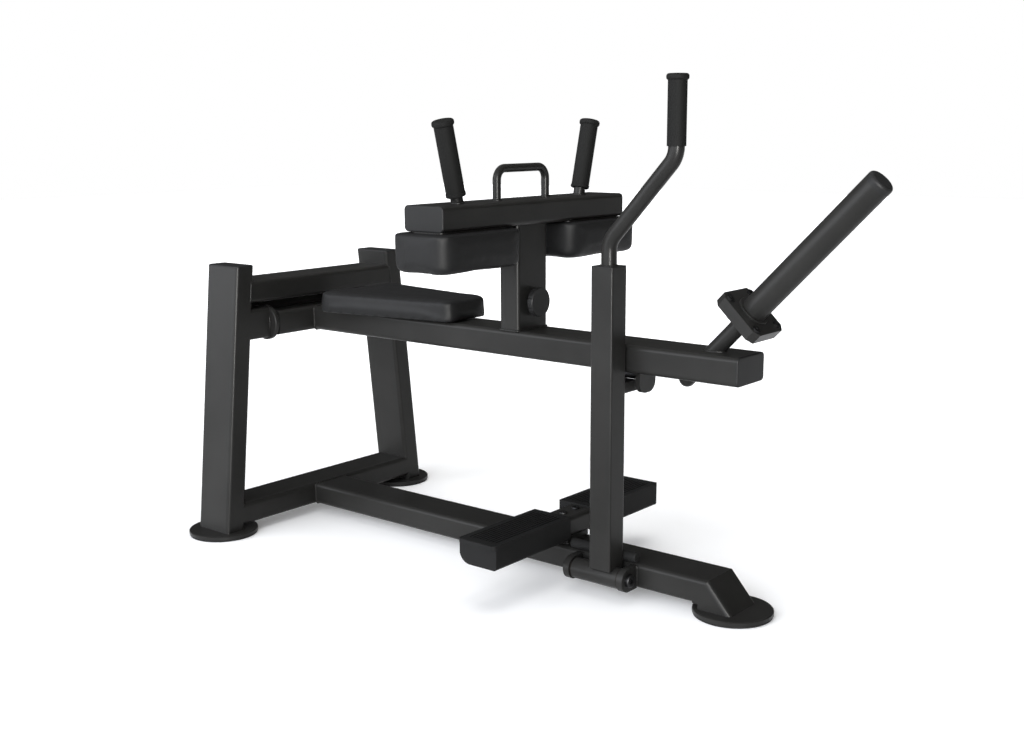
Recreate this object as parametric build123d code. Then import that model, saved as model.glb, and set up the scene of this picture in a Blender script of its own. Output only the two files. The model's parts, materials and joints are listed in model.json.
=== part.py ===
"""Plate-loaded seated calf raise machine, as an assembly of separate solids, in millimetres.

+X runs from the rear frame to the weight horn, +Z is up and +Y is the user's left.
Everything is laid out from the front faces of the rear legs (x = 0) and the machine's
centre plane (y = 0), and moved at export so that the origin lies on the floor, under
the middle of the whole machine.
"""
from build123d import *
from math import atan2, cos, degrees, radians, sin, tan
import os

# ---- tube stock --------------------------------------------------------------
tube_w = 100.0            # wide side of the main rectangular tube
tube_h = 50.0             # narrow side of the main rectangular tube
tube_wall = 3.0
tube_corner = 9.0
cap_t = 4.0               # end caps on open tube ends

# ---- fits --------------------------------------------------------------------
run_gap = 0.05            # radial clearance of a shaft turning in a bush
slide_gap = 0.3           # each side, between the pad post and its glides
free_gap = 0.5            # between faces of different bodies that only come close

# ---- feet --------------------------------------------------------------------
rubber_t = 4.0
disc_t = 8.0
disc_r = 78.0
disc_bevel = 1.5
foot_h = rubber_t + disc_t
rear_disc_y = 289.0
front_disc_x = 1121.0

# ---- base beam ---------------------------------------------------------------
base_z = 47.0             # centre height of the floor tubes
nose_top_x = 1092.0       # where the top face starts to slope down
nose_tip_x = 1144.5       # where the slope meets the front disc
nose_back_x = 1072.0
nose_joint_x = 1060.0

# ---- rear frame --------------------------------------------------------------
leg_w = 105.0             # along X
leg_top_z = 613.0
leg_foot_y = 295.0        # leg centre line at the disc tops
leg_splay = 5.85          # degrees from upright
crossbar_z = 556.0        # centre height of the top crossbar
stub_w = 70.0             # pivot stub, along X
stub_h = 70.0
stub_z = 482.0
stub_end_y = 170.0
stub_plate = 10.0

# ---- main pivot --------------------------------------------------------------
pivot_x = -20.0
pivot_z = 480.0
guard_t = 5.0                # strip behind the hinge, under the top crossbar
guard_half = 190.0
guard_z = 498.0
shaft_r = 12.5
collar_r = 40.0
collar_t = 12.0
hub_len_x = 72.0
hub_block = 24.0          # solid end block that carries each bush
bush_wall = 4.0
bush_flange_t = 2.0
bush_flange_r = 21.0
shaft_nut_r = 19.0
shaft_nut_t = 14.0

# ---- lever beam --------------------------------------------------------------
lever_end_x = 1144.0
lever_h = 55.0
lever_z = 479.5

# ---- seat --------------------------------------------------------------------
seat_rear_x = 100.0
seat_front_x = 458.0
seat_rear_w = 244.0
seat_front_w = 130.0
seat_corner = 26.0
seat_plate_t = 3.0
seat_pad_t = 46.0
seat_edge_r = 8.0
seat_plate_inset = 32.0
seat_bolt_xs = (190.0, 410.0)
seat_bolt_r = 5.0
bolt_head_r = 9.0
bolt_head_t = 6.0

# ---- pad post and its sleeve -------------------------------------------------
post_x = 608.5
glide_wall = 2.2
glide_h = 30.0
glide_low_z = 520.0
pad_travel = 90.0
hole_pitch = 30.0
pin_z = 564.0
pin_r = 6.0
pin_hole_r = 6.5
pin_tip_gap = 0.5
housing_r = 15.0
housing_nose_r = 9.0
housing_len = 9.0
knob_r = 30.5
knob_t = 12.0
knob_lobes = 8
knob_lobe_r = 5.0
knob_lobe_out = 4.0          # from the rim to a flute's centre

# ---- pad crossbar, pads and handles ------------------------------------------
bar_x = 604.0
bar_z = 749.5             # centre height of the pad crossbar
bar_half = 292.0          # to the tube end, without its cap
pad_rear_x = 536.0
pad_front_x = 678.0
pad_in_y = 75.0
pad_over = 33.0              # how far a pad reaches past the crossbar's end
pad_out_y = bar_half + pad_over
pad_t = 74.5
pad_corner = 34.0
pad_edge_r = 12.0
pad_top_edge_r = 4.0
pad_plate_t = 2.5
pad_plate_inset = 30.0
handle_base_y = 198.5
handle_splay = 14.2       # degrees outward from upright
handle_bar_r = 12.5
handle_len = 163.0        # along the bar, from the crossbar's top to the end of the grip
grip_start = 14.0
grip_r = 19.0
grip_cap_r = 22.0
grip_cap_t = 12.0
grip_ring_t = 7.0
loop_r = 8.5
loop_half = 79.0
loop_h = 63.0
loop_bend = 24.0

# ---- weight horn -------------------------------------------------------------
horn_x = 1067.0           # where the horn's axis crosses the lever beam's top face
horn_angle = 46.0         # degrees above level
horn_rod_r = 16.0
horn_flange_at = 112.0    # along the axis, from the beam's top to the flange's far face
horn_flange_side = 105.0
horn_flange_t = 22.0
horn_flange_corner = 12.0
horn_screw_pitch = 76.0
horn_screw_r = 5.0
horn_screw_head_t = 3.0
horn_r = 25.0
horn_len = 337.0
horn_cap_t = 14.0
horn_ring_r = 32.0
horn_ring_t = 3.0
horn_tail = 84.0          # along the axis, from the beam's top down to the rod's dome

# ---- foot bar ----------------------------------------------------------------
footbar_x = 729.0
footbar_z = 108.5
footbar_tube_w = 62.0
footbar_tube_h = 44.0
footbar_half = 270.0
tread_x = 718.0
tread_w = 94.0
tread_h = 51.0
tread_in_y = 43.0
tread_out_y = 281.0
tread_corner = 10.0           # outer corners, seen from above
tread_lip = 6.0
tread_lip_t = 9.0
tread_belly_r = 26.0
tread_z = 108.5
groove_count = 9
groove_w = 3.2
groove_d = 2.6
groove_inset = 15.0
saddle_len = 46.0
saddle_half = 36.0
footbar_bolt_r = 5.0
footbar_bolt_y = 22.0

# ---- release lever on the right side -----------------------------------------
release_side_gap = 30.0      # from the base beam's side to the hub's axis
release_y = -(tube_w / 2 + release_side_gap)
release_z = 46.0
release_post_x = 880.0
release_post_w = 50.0
release_post_corner = 5.0
release_post_top = 657.0
release_hub_x = 862.0
release_hub_len = 108.0
release_hub_r = 21.0
release_pin_r = 9.0
release_bush_wall = 4.0
release_flange_t = 3.0
lug_t = 14.0
lug_r = 23.5
release_bolt_head_r = 13.0
release_bolt_head_t = 8.0
handle_r = 15.0
handle_wall = 2.5
handle_low_z = 620.0
handle_bend_z = 706.0
handle_reach = 144.0
handle_rise = 159.0
handle_bend_r = 45.0
handle_top_z = 1005.0
release_grip_z = 884.0
release_grip_r = 17.5
release_cap_r = 20.5

# ---- stop bar ----------------------------------------------------------------
stop_r = 6.5
stop_rubber_r = 10.0
stop_x0 = 772.0
stop_x1 = 930.0
stop_bracket_x = 848.0
stop_bracket_len = 14.0

# ---- catch -------------------------------------------------------------------
catch_roller_r = 10.0
catch_roller_z = 441.4
catch_pin_r = 6.0
catch_lug_t = 10.0
catch_lug_gap = 58.0
catch_lug_w = 56.0
catch_lug_h = 44.0
catch_lug_corner = 22.0
catch_arm_t = 30.0
catch_arm_h = 21.0
catch_arm_y = 22.0

# ---- places worked out from the sizes above ----------------------------------
base_z0 = base_z - tube_h / 2
base_z1 = base_z + tube_h / 2
lever_z0 = lever_z - lever_h / 2
lever_z1 = lever_z + lever_h / 2
leg_lean = tan(radians(leg_splay))
hub_front_x = pivot_x + hub_len_x / 2
hub_half = stub_end_y - collar_t - free_gap - bush_flange_t
bar_z0 = bar_z - tube_h / 2
bar_z1 = bar_z + tube_h / 2
sleeve_top = bar_z0 - free_gap
sleeve_inner_w = tube_w - 2 * tube_wall
sleeve_inner_t = tube_h - 2 * tube_wall
post_w = sleeve_inner_w - 2 * glide_wall - 2 * slide_gap
post_t = sleeve_inner_t - 2 * glide_wall - 2 * slide_gap
post_foot_z = lever_z0 + tube_corner + free_gap
sleeve_front_x = post_x + tube_h / 2
pad_top_z = bar_z0 - pad_plate_t
release_far_y = release_y + release_post_w / 2
stop_y = release_far_y + free_gap + stop_rubber_r
stop_z = base_z1 + stop_rubber_r + free_gap
leg_x = -leg_w / 2
rear_reach = disc_r - leg_x
front_reach = (horn_x + (horn_flange_at + horn_len) * cos(radians(horn_angle))
               + horn_r * sin(radians(horn_angle)))
centre_x = (front_reach - rear_reach) / 2


def save(shape, node):
    """Move one sub-part from the layout frame to the machine's own origin and write it."""
    solids = [Pos(-centre_x, 0, 0) * solid for solid in shape.solids()]
    placed = solids[0] if len(solids) == 1 else Compound(solids)
    export_step(placed, "parts/" + node + ".step")


def block(x0, x1, y0, y1, z0, z1):
    """A box given by its limits."""
    middle = Pos((x0 + x1) / 2, (y0 + y1) / 2, (z0 + z1) / 2)
    return middle * Box(x1 - x0, y1 - y0, z1 - z0)


def rail(start, end, section, x_dir=None):
    """Extrude a section that is centred on the line from start to end."""
    line = Vector(*end) - Vector(*start)
    plane = Plane(origin=start, x_dir=x_dir, z_dir=line)
    return extrude(plane * section, line.length)


def tube_section(width, height, wall=tube_wall, corner=tube_corner):
    """Cross-section of a rectangular tube with rounded corners."""
    hole = RectangleRounded(width - 2 * wall, height - 2 * wall, corner - wall)
    return RectangleRounded(width, height, corner) - hole


def ring_section(outer, inner):
    return Circle(outer) - Circle(inner)


def both_sides(right):
    """The right-hand piece and its mirror image as two separate solids."""
    return Compound([right, mirror(right, about=Plane.XZ)])


def left_of(right):
    return mirror(right, about=Plane.XZ)


# ---- rear frame and base -----------------------------------------------------
def leg_centre_y(z):
    """How far a leg's centre line is from the centre plane at height z."""
    return leg_foot_y - (z - foot_h) * leg_lean


def leg_prism(section, z0, z1):
    """A right-hand leg along its splayed line, cut level at both ends."""
    low = z0 - tube_h
    high = z1 + tube_h
    start = (leg_x, -leg_centre_y(low), low)
    end = (leg_x, -leg_centre_y(high), high)
    whole = rail(start, end, section, x_dir=(1, 0, 0))
    return whole & block(-2 * tube_w, tube_w, -3 * rear_disc_y, 0, z0, z1)


def leg():
    return leg_prism(tube_section(leg_w, tube_h), foot_h, leg_top_z)


def leg_solid():
    """The leg without its hollow, for fitting the cross tubes to its face."""
    return leg_prism(RectangleRounded(leg_w, tube_h, tube_corner), foot_h, leg_top_z)


def leg_cap():
    outline = RectangleRounded(leg_w, tube_h / cos(radians(leg_splay)), tube_corner)
    cap = extrude(Pos(leg_x, -leg_centre_y(leg_top_z), leg_top_z) * outline, cap_t)
    return fillet(cap.edges().group_by(Axis.Z)[-1], cap_t * 0.7)


def between_legs(x, z, section):
    """A cross tube whose ends are cut to the legs' splayed inner faces."""
    half = leg_centre_y(z)
    tube = rail((x, -half, z), (x, half, z), section, x_dir=(1, 0, 0))
    right = leg_solid()
    return tube - right - left_of(right)


def pivot_guard():
    """Strip under the crossbar's rear edge that screens the hinge from behind."""
    return block(-tube_w, guard_t - tube_w, -guard_half, guard_half, guard_z,
                 crossbar_z - tube_h / 2)


def pivot_stub():
    """Short tube on the right leg's inner face, with an end plate that holds the shaft."""
    x = -stub_w / 2
    tube = rail((x, -leg_centre_y(stub_z), stub_z), (x, -stub_end_y, stub_z),
                tube_section(stub_w, stub_h), x_dir=(1, 0, 0))
    plate = rail((x, -stub_end_y - stub_plate, stub_z), (x, -stub_end_y, stub_z),
                 RectangleRounded(stub_w, stub_h, tube_corner), x_dir=(1, 0, 0))
    return tube + plate - leg_solid() - pivot_rod(shaft_r, leg_foot_y)


def pivot_rod(radius, half):
    return rail((pivot_x, -half, pivot_z), (pivot_x, half, pivot_z), Circle(radius))


def pivot_collar():
    ring = rail((pivot_x, -stub_end_y, pivot_z), (pivot_x, -stub_end_y + collar_t, pivot_z),
                ring_section(collar_r, shaft_r))
    return chamfer(ring.edges().filter_by(GeomType.CIRCLE).sort_by(SortBy.RADIUS)[-2:], 2.0)


def shaft_half():
    return stub_end_y + stub_plate + shaft_nut_t + 4.0


def shaft_nut():
    """Hexagon nut inside the stub, against the back of its end plate."""
    y = -stub_end_y - stub_plate
    hexagon = RegularPolygon(shaft_nut_r, 6) - Circle(shaft_r)
    return rail((pivot_x, y, pivot_z), (pivot_x, y - shaft_nut_t, pivot_z), hexagon)


def base_beam():
    """Floor tube with a nose that slopes down on to the front disc."""
    tube = rail((0, 0, base_z), (nose_joint_x, 0, base_z), tube_section(tube_w, tube_h),
                x_dir=(0, 1, 0))
    w = tube_wall
    outline = [(nose_joint_x, base_z0), (nose_back_x, base_z0), (nose_back_x, foot_h),
               (nose_tip_x, foot_h), (nose_top_x, base_z1), (nose_joint_x, base_z1)]
    inside = [(nose_joint_x, base_z0 + w), (nose_back_x + w, base_z0 + w),
              (nose_back_x + w, foot_h + w), (nose_tip_x - 3 * w, foot_h + w),
              (nose_top_x - w / 2, base_z1 - w), (nose_joint_x, base_z1 - w)]
    half = tube_w / 2
    shell = extrude(Plane.XZ.offset(-half) * Polygon(*outline, align=None), tube_w)
    shell = fillet(shell.edges().filter_by(on_nose_rim), tube_corner)
    hollow = extrude(Plane.XZ.offset(w - half) * Polygon(*inside, align=None), tube_w - 2 * w)
    return tube + (shell - hollow)


def on_nose_rim(edge):
    """The nose's upper edges, along the tube and down the slope, on both sides."""
    ends = edge.vertices()
    side = all(abs(abs(v.Y) - tube_w / 2) < 0.01 for v in ends)
    upper = max(v.Z for v in ends) > base_z1 - 0.01
    return side and upper and abs(ends[0].X - ends[1].X) > 1.0


def foot_disc(x, y):
    disc = Pos(x, y, rubber_t) * extrude(Circle(disc_r), disc_t)
    return chamfer(disc.edges().group_by(Axis.Z)[-1], disc_bevel)


def foot_rubber(x, y):
    return Pos(x, y, 0) * extrude(Circle(disc_r - disc_bevel), rubber_t)


def feet(maker):
    return Compound([maker(front_disc_x, 0), maker(leg_x, rear_disc_y),
                     maker(leg_x, -rear_disc_y)])


# ---- lever beam --------------------------------------------------------------
def lever_beam():
    beam = rail((hub_front_x, 0, lever_z), (lever_end_x - cap_t, 0, lever_z),
                tube_section(tube_w, lever_h), x_dir=(0, 1, 0))
    drop = Pos(post_x, 0, lever_z1) * Box(post_t + 2, post_w + 2, 3 * tube_wall)
    beam = beam - drop - horn_axis_rod(horn_rod_r, -2 * horn_tail, horn_flange_at)
    for x in seat_bolt_xs:
        beam -= rail((x, 0, lever_z0 - 1), (x, 0, lever_z1 + 1), Circle(seat_bolt_r))
    return beam


def tube_cap(start, end, height, x_dir):
    """Flat end cap of a main tube, with its outer rim rounded."""
    cap = rail(start, end, RectangleRounded(tube_w, height, tube_corner), x_dir)
    axis = Axis(start, Vector(*end) - Vector(*start))
    return fillet(cap.edges().group_by(axis)[-1], cap_t * 0.7)


def pivot_hub():
    """Cross tube at the lever's rear end, with bored blocks that carry the bushes."""
    hub = rail((pivot_x, -hub_half, lever_z), (pivot_x, hub_half, lever_z),
               tube_section(hub_len_x, lever_h), x_dir=(1, 0, 0))
    block_end = hub_half - hub_block
    for side in (-1, 1):
        hub += rail((pivot_x, side * block_end, lever_z), (pivot_x, side * hub_half, lever_z),
                    RectangleRounded(hub_len_x, lever_h, tube_corner), x_dir=(1, 0, 0))
    return hub - pivot_rod(shaft_r + run_gap + bush_wall, hub_half)


def flanged_bush(bore, wall, length, flange_r, flange_t):
    """Plain bush along Z: its flange starts at z = 0 and its body runs down from it."""
    body = extrude(ring_section(bore + wall, bore), -length)
    return body + extrude(ring_section(flange_r, bore), flange_t)


def pivot_bush():
    bush = flanged_bush(shaft_r + run_gap, bush_wall, hub_block, bush_flange_r, bush_flange_t)
    plane = Plane(origin=(pivot_x, -hub_half, pivot_z), x_dir=(1, 0, 0), z_dir=(0, -1, 0))
    return plane.location * bush


# ---- seat --------------------------------------------------------------------
def seat_outline(inset, corner):
    """Seat shape from above: wide at the rear, narrow between the thighs."""
    x0 = seat_rear_x + inset
    x1 = seat_front_x - inset
    w0 = seat_rear_w / 2 - inset
    w1 = seat_front_w / 2 - inset
    outline = Polygon((x0, -w0), (x1, -w1), (x1, w1), (x0, w0), align=None)
    return fillet(outline.vertices(), corner)


def seat_plate():
    plate = extrude(Pos(0, 0, lever_z1) * seat_outline(seat_plate_inset, seat_corner / 2),
                    seat_plate_t)
    for x in seat_bolt_xs:
        plate -= rail((x, 0, lever_z1 - 1), (x, 0, lever_z1 + seat_plate_t + 1),
                      Circle(seat_bolt_r))
    return plate


def seat_pad():
    z = lever_z1 + seat_plate_t
    pad = extrude(Pos(0, 0, z) * seat_outline(0, seat_corner), seat_pad_t)
    return fillet(pad.edges().group_by(Axis.Z)[-1], seat_edge_r)


def seat_bolt(x):
    """Bolt up through the beam and the plate, with its hexagon head under the beam."""
    shank = rail((x, 0, lever_z0), (x, 0, lever_z1 + seat_plate_t), Circle(seat_bolt_r))
    head = rail((x, 0, lever_z0 - bolt_head_t), (x, 0, lever_z0),
                RegularPolygon(bolt_head_r, 6))
    return shank + head


# ---- pad post, sleeve and pull pin -------------------------------------------
def pin_bore(radius, x0, x1):
    return rail((x0, 0, pin_z), (x1, 0, pin_z), Circle(radius))


def post_sleeve():
    sleeve = rail((post_x, 0, lever_z1), (post_x, 0, sleeve_top),
                  tube_section(tube_h, tube_w))
    return sleeve - pin_bore(housing_nose_r, post_x, sleeve_front_x + 1)


def glide(z):
    outer = RectangleRounded(sleeve_inner_t, sleeve_inner_w, tube_corner - tube_wall)
    inner = Rectangle(post_t + 2 * slide_gap, post_w + 2 * slide_gap)
    return extrude(Pos(post_x, 0, z) * (outer - inner), glide_h)


def carriage_post():
    """Square-edged tube that slides in the sleeve, with a row of pin holes in its front."""
    tube = rail((post_x, 0, post_foot_z), (post_x, 0, bar_z0),
                tube_section(post_t, post_w, tube_wall, tube_wall + 0.5))
    for step in range(int(pad_travel / hole_pitch) + 1):
        hole = pin_bore(pin_hole_r, post_x, sleeve_front_x)
        tube -= Pos(0, 0, -step * hole_pitch) * hole
    return tube


def pin_housing():
    nose = pin_bore(housing_nose_r, sleeve_front_x - tube_wall, sleeve_front_x)
    barrel = pin_bore(housing_r, sleeve_front_x, sleeve_front_x + housing_len)
    barrel = chamfer(barrel.edges().group_by(Axis.X)[-1], 1.5)
    bore = pin_bore(pin_r + run_gap, sleeve_front_x - 2 * tube_wall,
                    sleeve_front_x + housing_len + 1)
    return nose + barrel - bore


def pull_pin():
    tip = post_x + post_t / 2 + pin_tip_gap
    pin = pin_bore(pin_r, tip, sleeve_front_x + housing_len + knob_t / 2)
    return chamfer(pin.edges().group_by(Axis.X)[0], 1.5)


def pull_knob():
    """Round knob with shallow finger flutes round its rim."""
    x = sleeve_front_x + housing_len + free_gap
    knob = pin_bore(knob_r, x, x + knob_t)
    knob = chamfer(knob.edges().group_by(Axis.X)[-1], 1.2)
    for lobe in range(knob_lobes):
        turn = radians(360 * (lobe + 0.5) / knob_lobes)
        y = (knob_r + knob_lobe_out) * cos(turn)
        z = pin_z + (knob_r + knob_lobe_out) * sin(turn)
        knob -= rail((x - 1, y, z), (x + knob_t + 1, y, z), Circle(knob_lobe_r))
    return knob - pin_bore(pin_r, x - 1, sleeve_front_x + housing_len + knob_t / 2)


# ---- pad crossbar, pads and handles ------------------------------------------
def pad_crossbar():
    return rail((bar_x, -bar_half, bar_z), (bar_x, bar_half, bar_z),
                tube_section(tube_w, tube_h), x_dir=(1, 0, 0))


def crossbar_cap():
    start = (bar_x, -bar_half, bar_z)
    return tube_cap(start, (bar_x, -bar_half - cap_t, bar_z), tube_h, (1, 0, 0))


def pad_outline(inset, corner):
    width = pad_front_x - pad_rear_x - 2 * inset
    length = pad_out_y - pad_in_y - 2 * inset
    middle = Pos((pad_rear_x + pad_front_x) / 2, -(pad_in_y + pad_out_y) / 2, 0)
    return middle * RectangleRounded(width, length, corner)


def thigh_pad():
    pad = extrude(Pos(0, 0, pad_top_z - pad_t) * pad_outline(0, pad_corner), pad_t)
    pad = fillet(pad.edges().group_by(Axis.Z)[0], pad_edge_r)
    return fillet(pad.edges().group_by(Axis.Z)[-1], pad_top_edge_r)


def pad_plate():
    return extrude(Pos(0, 0, pad_top_z) * pad_outline(pad_plate_inset, pad_corner / 2),
                   pad_plate_t)


def handle_point(distance):
    """Point on the right handle's axis, so far along it from the crossbar's top face."""
    lean = radians(handle_splay)
    return (bar_x, -handle_base_y - distance * sin(lean), bar_z1 + distance * cos(lean))


def handle_bar():
    bar = rail(handle_point(-tube_h / 2), handle_point(handle_len - grip_cap_t / 2),
               Circle(handle_bar_r))
    return bar & block(0, 2 * post_x, -2 * bar_half, 0, bar_z1, 2 * bar_z1)


def handle_grip():
    """Rubber grip: a sleeve over the bar, a ring at its foot and a wider domed end."""
    end = handle_len - grip_cap_t
    grip = rail(handle_point(grip_start), handle_point(end + 1), Circle(grip_r))
    cap = rail(handle_point(end), handle_point(handle_len), Circle(grip_cap_r))
    cap = fillet(cap.edges(), grip_cap_t * 0.4)
    ring = rail(handle_point(grip_start), handle_point(grip_start + grip_ring_t),
                Circle(grip_r + 1.0))
    ring = fillet(ring.edges(), 1.5)
    bar = rail(handle_point(0), handle_point(handle_len - grip_cap_t / 2), Circle(handle_bar_r))
    return grip + cap + ring - bar


def lift_handle():
    """Bent rod loop welded to the top of the crossbar."""
    z0 = bar_z1
    z1 = bar_z1 + loop_h
    path = FilletPolyline((bar_x, -loop_half, z0), (bar_x, -loop_half, z1),
                          (bar_x, loop_half, z1), (bar_x, loop_half, z0), radius=loop_bend)
    return sweep(Plane(origin=path @ 0, z_dir=path % 0) * Circle(loop_r), path=path)


# ---- weight horn -------------------------------------------------------------
def horn_point(distance):
    """Point on the horn's axis, so far beyond the lever beam's top face."""
    tilt = radians(horn_angle)
    return (horn_x + distance * cos(tilt), 0, lever_z1 + distance * sin(tilt))


def horn_axis_rod(radius, start, end):
    return rail(horn_point(start), horn_point(end), Circle(radius))


def horn_plane(distance):
    """Plane square to the horn, its x along the machine's Y."""
    tilt = radians(horn_angle)
    return Plane(origin=horn_point(distance), x_dir=(0, 1, 0), z_dir=(cos(tilt), 0, sin(tilt)))


def horn_rod():
    """Rod through the beam: domed below it, and ending in the flange above it."""
    rod = horn_axis_rod(horn_rod_r, -horn_tail, horn_flange_at - horn_flange_t)
    dome = horn_plane(-horn_tail).location * Sphere(horn_rod_r)
    return rod + dome


def horn_corners():
    half = horn_screw_pitch / 2
    return [(u, v) for u in (-half, half) for v in (-half, half)]


def horn_flange():
    side = horn_flange_side
    plate = horn_plane(horn_flange_at - horn_flange_t) * Rectangle(side, side)
    plate = extrude(plate, horn_flange_t)
    plate = chamfer(plate.edges().filter_by(horn_line()), horn_flange_corner)
    for u, v in horn_corners():
        hole = horn_plane(horn_flange_at - horn_flange_t) * Pos(u, v) * Circle(horn_screw_r)
        plate -= extrude(hole, horn_flange_t)
    return plate


def horn_screws():
    screws = []
    for u, v in horn_corners():
        shank = horn_plane(horn_flange_at - horn_flange_t) * Pos(u, v) * Circle(horn_screw_r)
        head = horn_plane(horn_flange_at) * Pos(u, v) * Circle(horn_screw_r * 1.7)
        socket = horn_plane(horn_flange_at + horn_screw_head_t / 3) * Pos(u, v)
        socket = socket * RegularPolygon(horn_screw_r * 0.8, 6)
        screws.append(extrude(shank, horn_flange_t) + extrude(head, horn_screw_head_t)
                      - extrude(socket, horn_screw_head_t))
    return Compound(screws)


def horn_ring():
    ring = extrude(horn_plane(horn_flange_at) * Circle(horn_ring_r), horn_ring_t)
    return chamfer(ring.edges().sort_by(horn_line())[-1], horn_ring_t / 3)


def horn_line():
    """The horn's axis, for sorting edges along it."""
    return Axis(horn_point(0), Vector(*horn_point(1)) - Vector(*horn_point(0)))


def horn_sleeve():
    start = horn_flange_at + horn_ring_t
    section = horn_plane(start) * ring_section(horn_r, horn_r - tube_wall)
    return extrude(section, horn_len - horn_ring_t - horn_cap_t)


def horn_cap():
    start = horn_flange_at + horn_len - horn_cap_t
    cap = extrude(horn_plane(start) * Circle(horn_r), horn_cap_t)
    cap = fillet(cap.edges().sort_by(horn_line())[-1], 7.0)
    plug = extrude(horn_plane(start) * Circle(horn_r - tube_wall), -horn_cap_t)
    return cap + plug


# ---- foot bar ----------------------------------------------------------------
def footbar_tube():
    tube = rail((footbar_x, -footbar_half, footbar_z), (footbar_x, footbar_half, footbar_z),
                tube_section(footbar_tube_w, footbar_tube_h), x_dir=(1, 0, 0))
    for y in (-footbar_bolt_y, footbar_bolt_y):
        tube -= rail((footbar_x, y, base_z1), (footbar_x, y, 2 * tread_z),
                     Circle(footbar_bolt_r))
    return tube


def footbar_saddle():
    """Welded block on the base beam that the foot bar is bolted down to."""
    top = footbar_z - footbar_tube_h / 2
    saddle = block(footbar_x - saddle_len / 2, footbar_x + saddle_len / 2,
                   -saddle_half, saddle_half, base_z1, top)
    for y in (-footbar_bolt_y, footbar_bolt_y):
        saddle -= rail((footbar_x, y, base_z1 - 1), (footbar_x, y, top + 1), Circle(footbar_bolt_r))
    return saddle


def footbar_bolts():
    bolts = []
    top = footbar_z + footbar_tube_h / 2
    for y in (-footbar_bolt_y, footbar_bolt_y):
        shank = rail((footbar_x, y, base_z1), (footbar_x, y, top), Circle(footbar_bolt_r))
        head = rail((footbar_x, y, top), (footbar_x, y, top + 4), Circle(bolt_head_r))
        head = fillet(head.edges().group_by(Axis.Z)[-1], 2.5)
        socket = rail((footbar_x, y, top + 1), (footbar_x, y, top + 5), RegularPolygon(3.5, 6))
        bolts.append(shank + head - socket)
    return Compound(bolts)


def tread():
    """Moulded tread that slides over the foot bar: ribbed top, rounded rear underside."""
    x0 = tread_x - tread_w / 2
    x1 = tread_x + tread_w / 2
    z0 = tread_z - tread_h / 2
    z1 = tread_z + tread_h / 2
    body = block(x0, x1, -tread_out_y, -tread_in_y, z0, z1)
    along = body.edges().filter_by(Axis.Y)
    body = fillet(along.group_by(Axis.Z)[0].sort_by(Axis.X)[0], tread_belly_r)
    along = body.edges().filter_by(Axis.Y)
    body = fillet(along.sort_by(lambda e: e.center().Z - e.center().X)[0], 7.0)
    lip = block(x0, x1, -tread_out_y - tread_lip, -tread_in_y, z1 - tread_lip_t, z1)
    lip = fillet(lip.edges().group_by(Axis.Z)[-1], 3.0)
    pocket = rail((footbar_x, -footbar_half, footbar_z), (footbar_x, 0, footbar_z),
                  RectangleRounded(footbar_tube_w, footbar_tube_h, tube_corner), (1, 0, 0))
    plan = block(x0, x1, -tread_out_y - tread_lip, 0, z0, z1)
    plan = fillet(plan.edges().filter_by(Axis.Z).group_by(Axis.Y)[0], tread_corner)
    shape = (body + lip) & plan
    shape = shape - pocket
    pitch = (tread_w - 2 * groove_inset) / (groove_count - 1)
    for n in range(groove_count):
        x = x0 + groove_inset + n * pitch
        shape -= block(x - groove_w / 2, x + groove_w / 2, groove_inset - tread_out_y,
                       -tread_in_y - groove_inset, z1 - groove_d, z1 + 1)
    return shape


# ---- release lever -----------------------------------------------------------
def release_axis(radius, x0, x1):
    return rail((x0, release_y, release_z), (x1, release_y, release_z), Circle(radius))


def release_lug_faces():
    """Inner faces of the two lugs, rear then front."""
    half = release_hub_len / 2 + release_flange_t + free_gap
    return release_hub_x - half, release_hub_x + half


def release_lug(x0, x1):
    """Lug plate on the base beam's side, round at its outer end and bored for the pin."""
    z0 = release_z - lug_r
    z1 = release_z + lug_r
    plate = release_axis(lug_r, x0, x1) + block(x0, x1, release_y, -tube_w / 2, z0, z1)
    return plate - release_axis(release_pin_r, x0, x1)


def release_pin():
    """Pivot bolt through both lugs, with its head in front and its nut behind."""
    rear, front = release_lug_faces()
    x1 = front + lug_t
    x0 = rear - lug_t
    bolt = release_axis(release_pin_r, x0 - release_bolt_head_t, x1)
    head = release_axis(release_bolt_head_r, x1, x1 + release_bolt_head_t)
    head = fillet(head.edges().group_by(Axis.X)[-1], 3.0)
    socket = rail((x1 + 2, release_y, release_z), (x1 + release_bolt_head_t + 1, release_y,
                  release_z), RegularPolygon(6.0, 6))
    nut = rail((x0 - release_bolt_head_t, release_y, release_z), (x0, release_y, release_z),
               RegularPolygon(release_bolt_head_r + 1.5, 6))
    return bolt + head - socket + nut


def release_hub():
    half = release_hub_len / 2
    hub = release_axis(release_hub_r, release_hub_x - half, release_hub_x + half)
    bore = release_pin_r + run_gap + release_bush_wall
    return hub - release_axis(bore, release_hub_x - half - 1, release_hub_x + half + 1)


def release_bushes():
    bushes = []
    bush = flanged_bush(release_pin_r + run_gap, release_bush_wall, release_hub_len / 4,
                        release_hub_r, release_flange_t)
    for side in (-1, 1):
        origin = (release_hub_x + side * release_hub_len / 2, release_y, release_z)
        plane = Plane(origin=origin, x_dir=(0, 1, 0), z_dir=(side, 0, 0))
        bushes.append(plane.location * bush)
    return Compound(bushes)


def release_post():
    """Upright tube, saddled on to the hub."""
    post = rail((release_post_x, release_y, release_z + release_hub_r - 4),
                (release_post_x, release_y, release_post_top),
                tube_section(release_post_w, release_post_w, tube_wall, release_post_corner))
    half = release_hub_len
    return post - release_axis(release_hub_r, release_hub_x - half, release_hub_x + half)


def release_post_cap():
    outline = RectangleRounded(release_post_w, release_post_w, release_post_corner)
    outline = outline - Circle(handle_r)
    cap = extrude(Pos(release_post_x, release_y, release_post_top) * outline, cap_t)
    return fillet(cap.edges().group_by(Axis.Z)[-1], 1.5)


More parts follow.
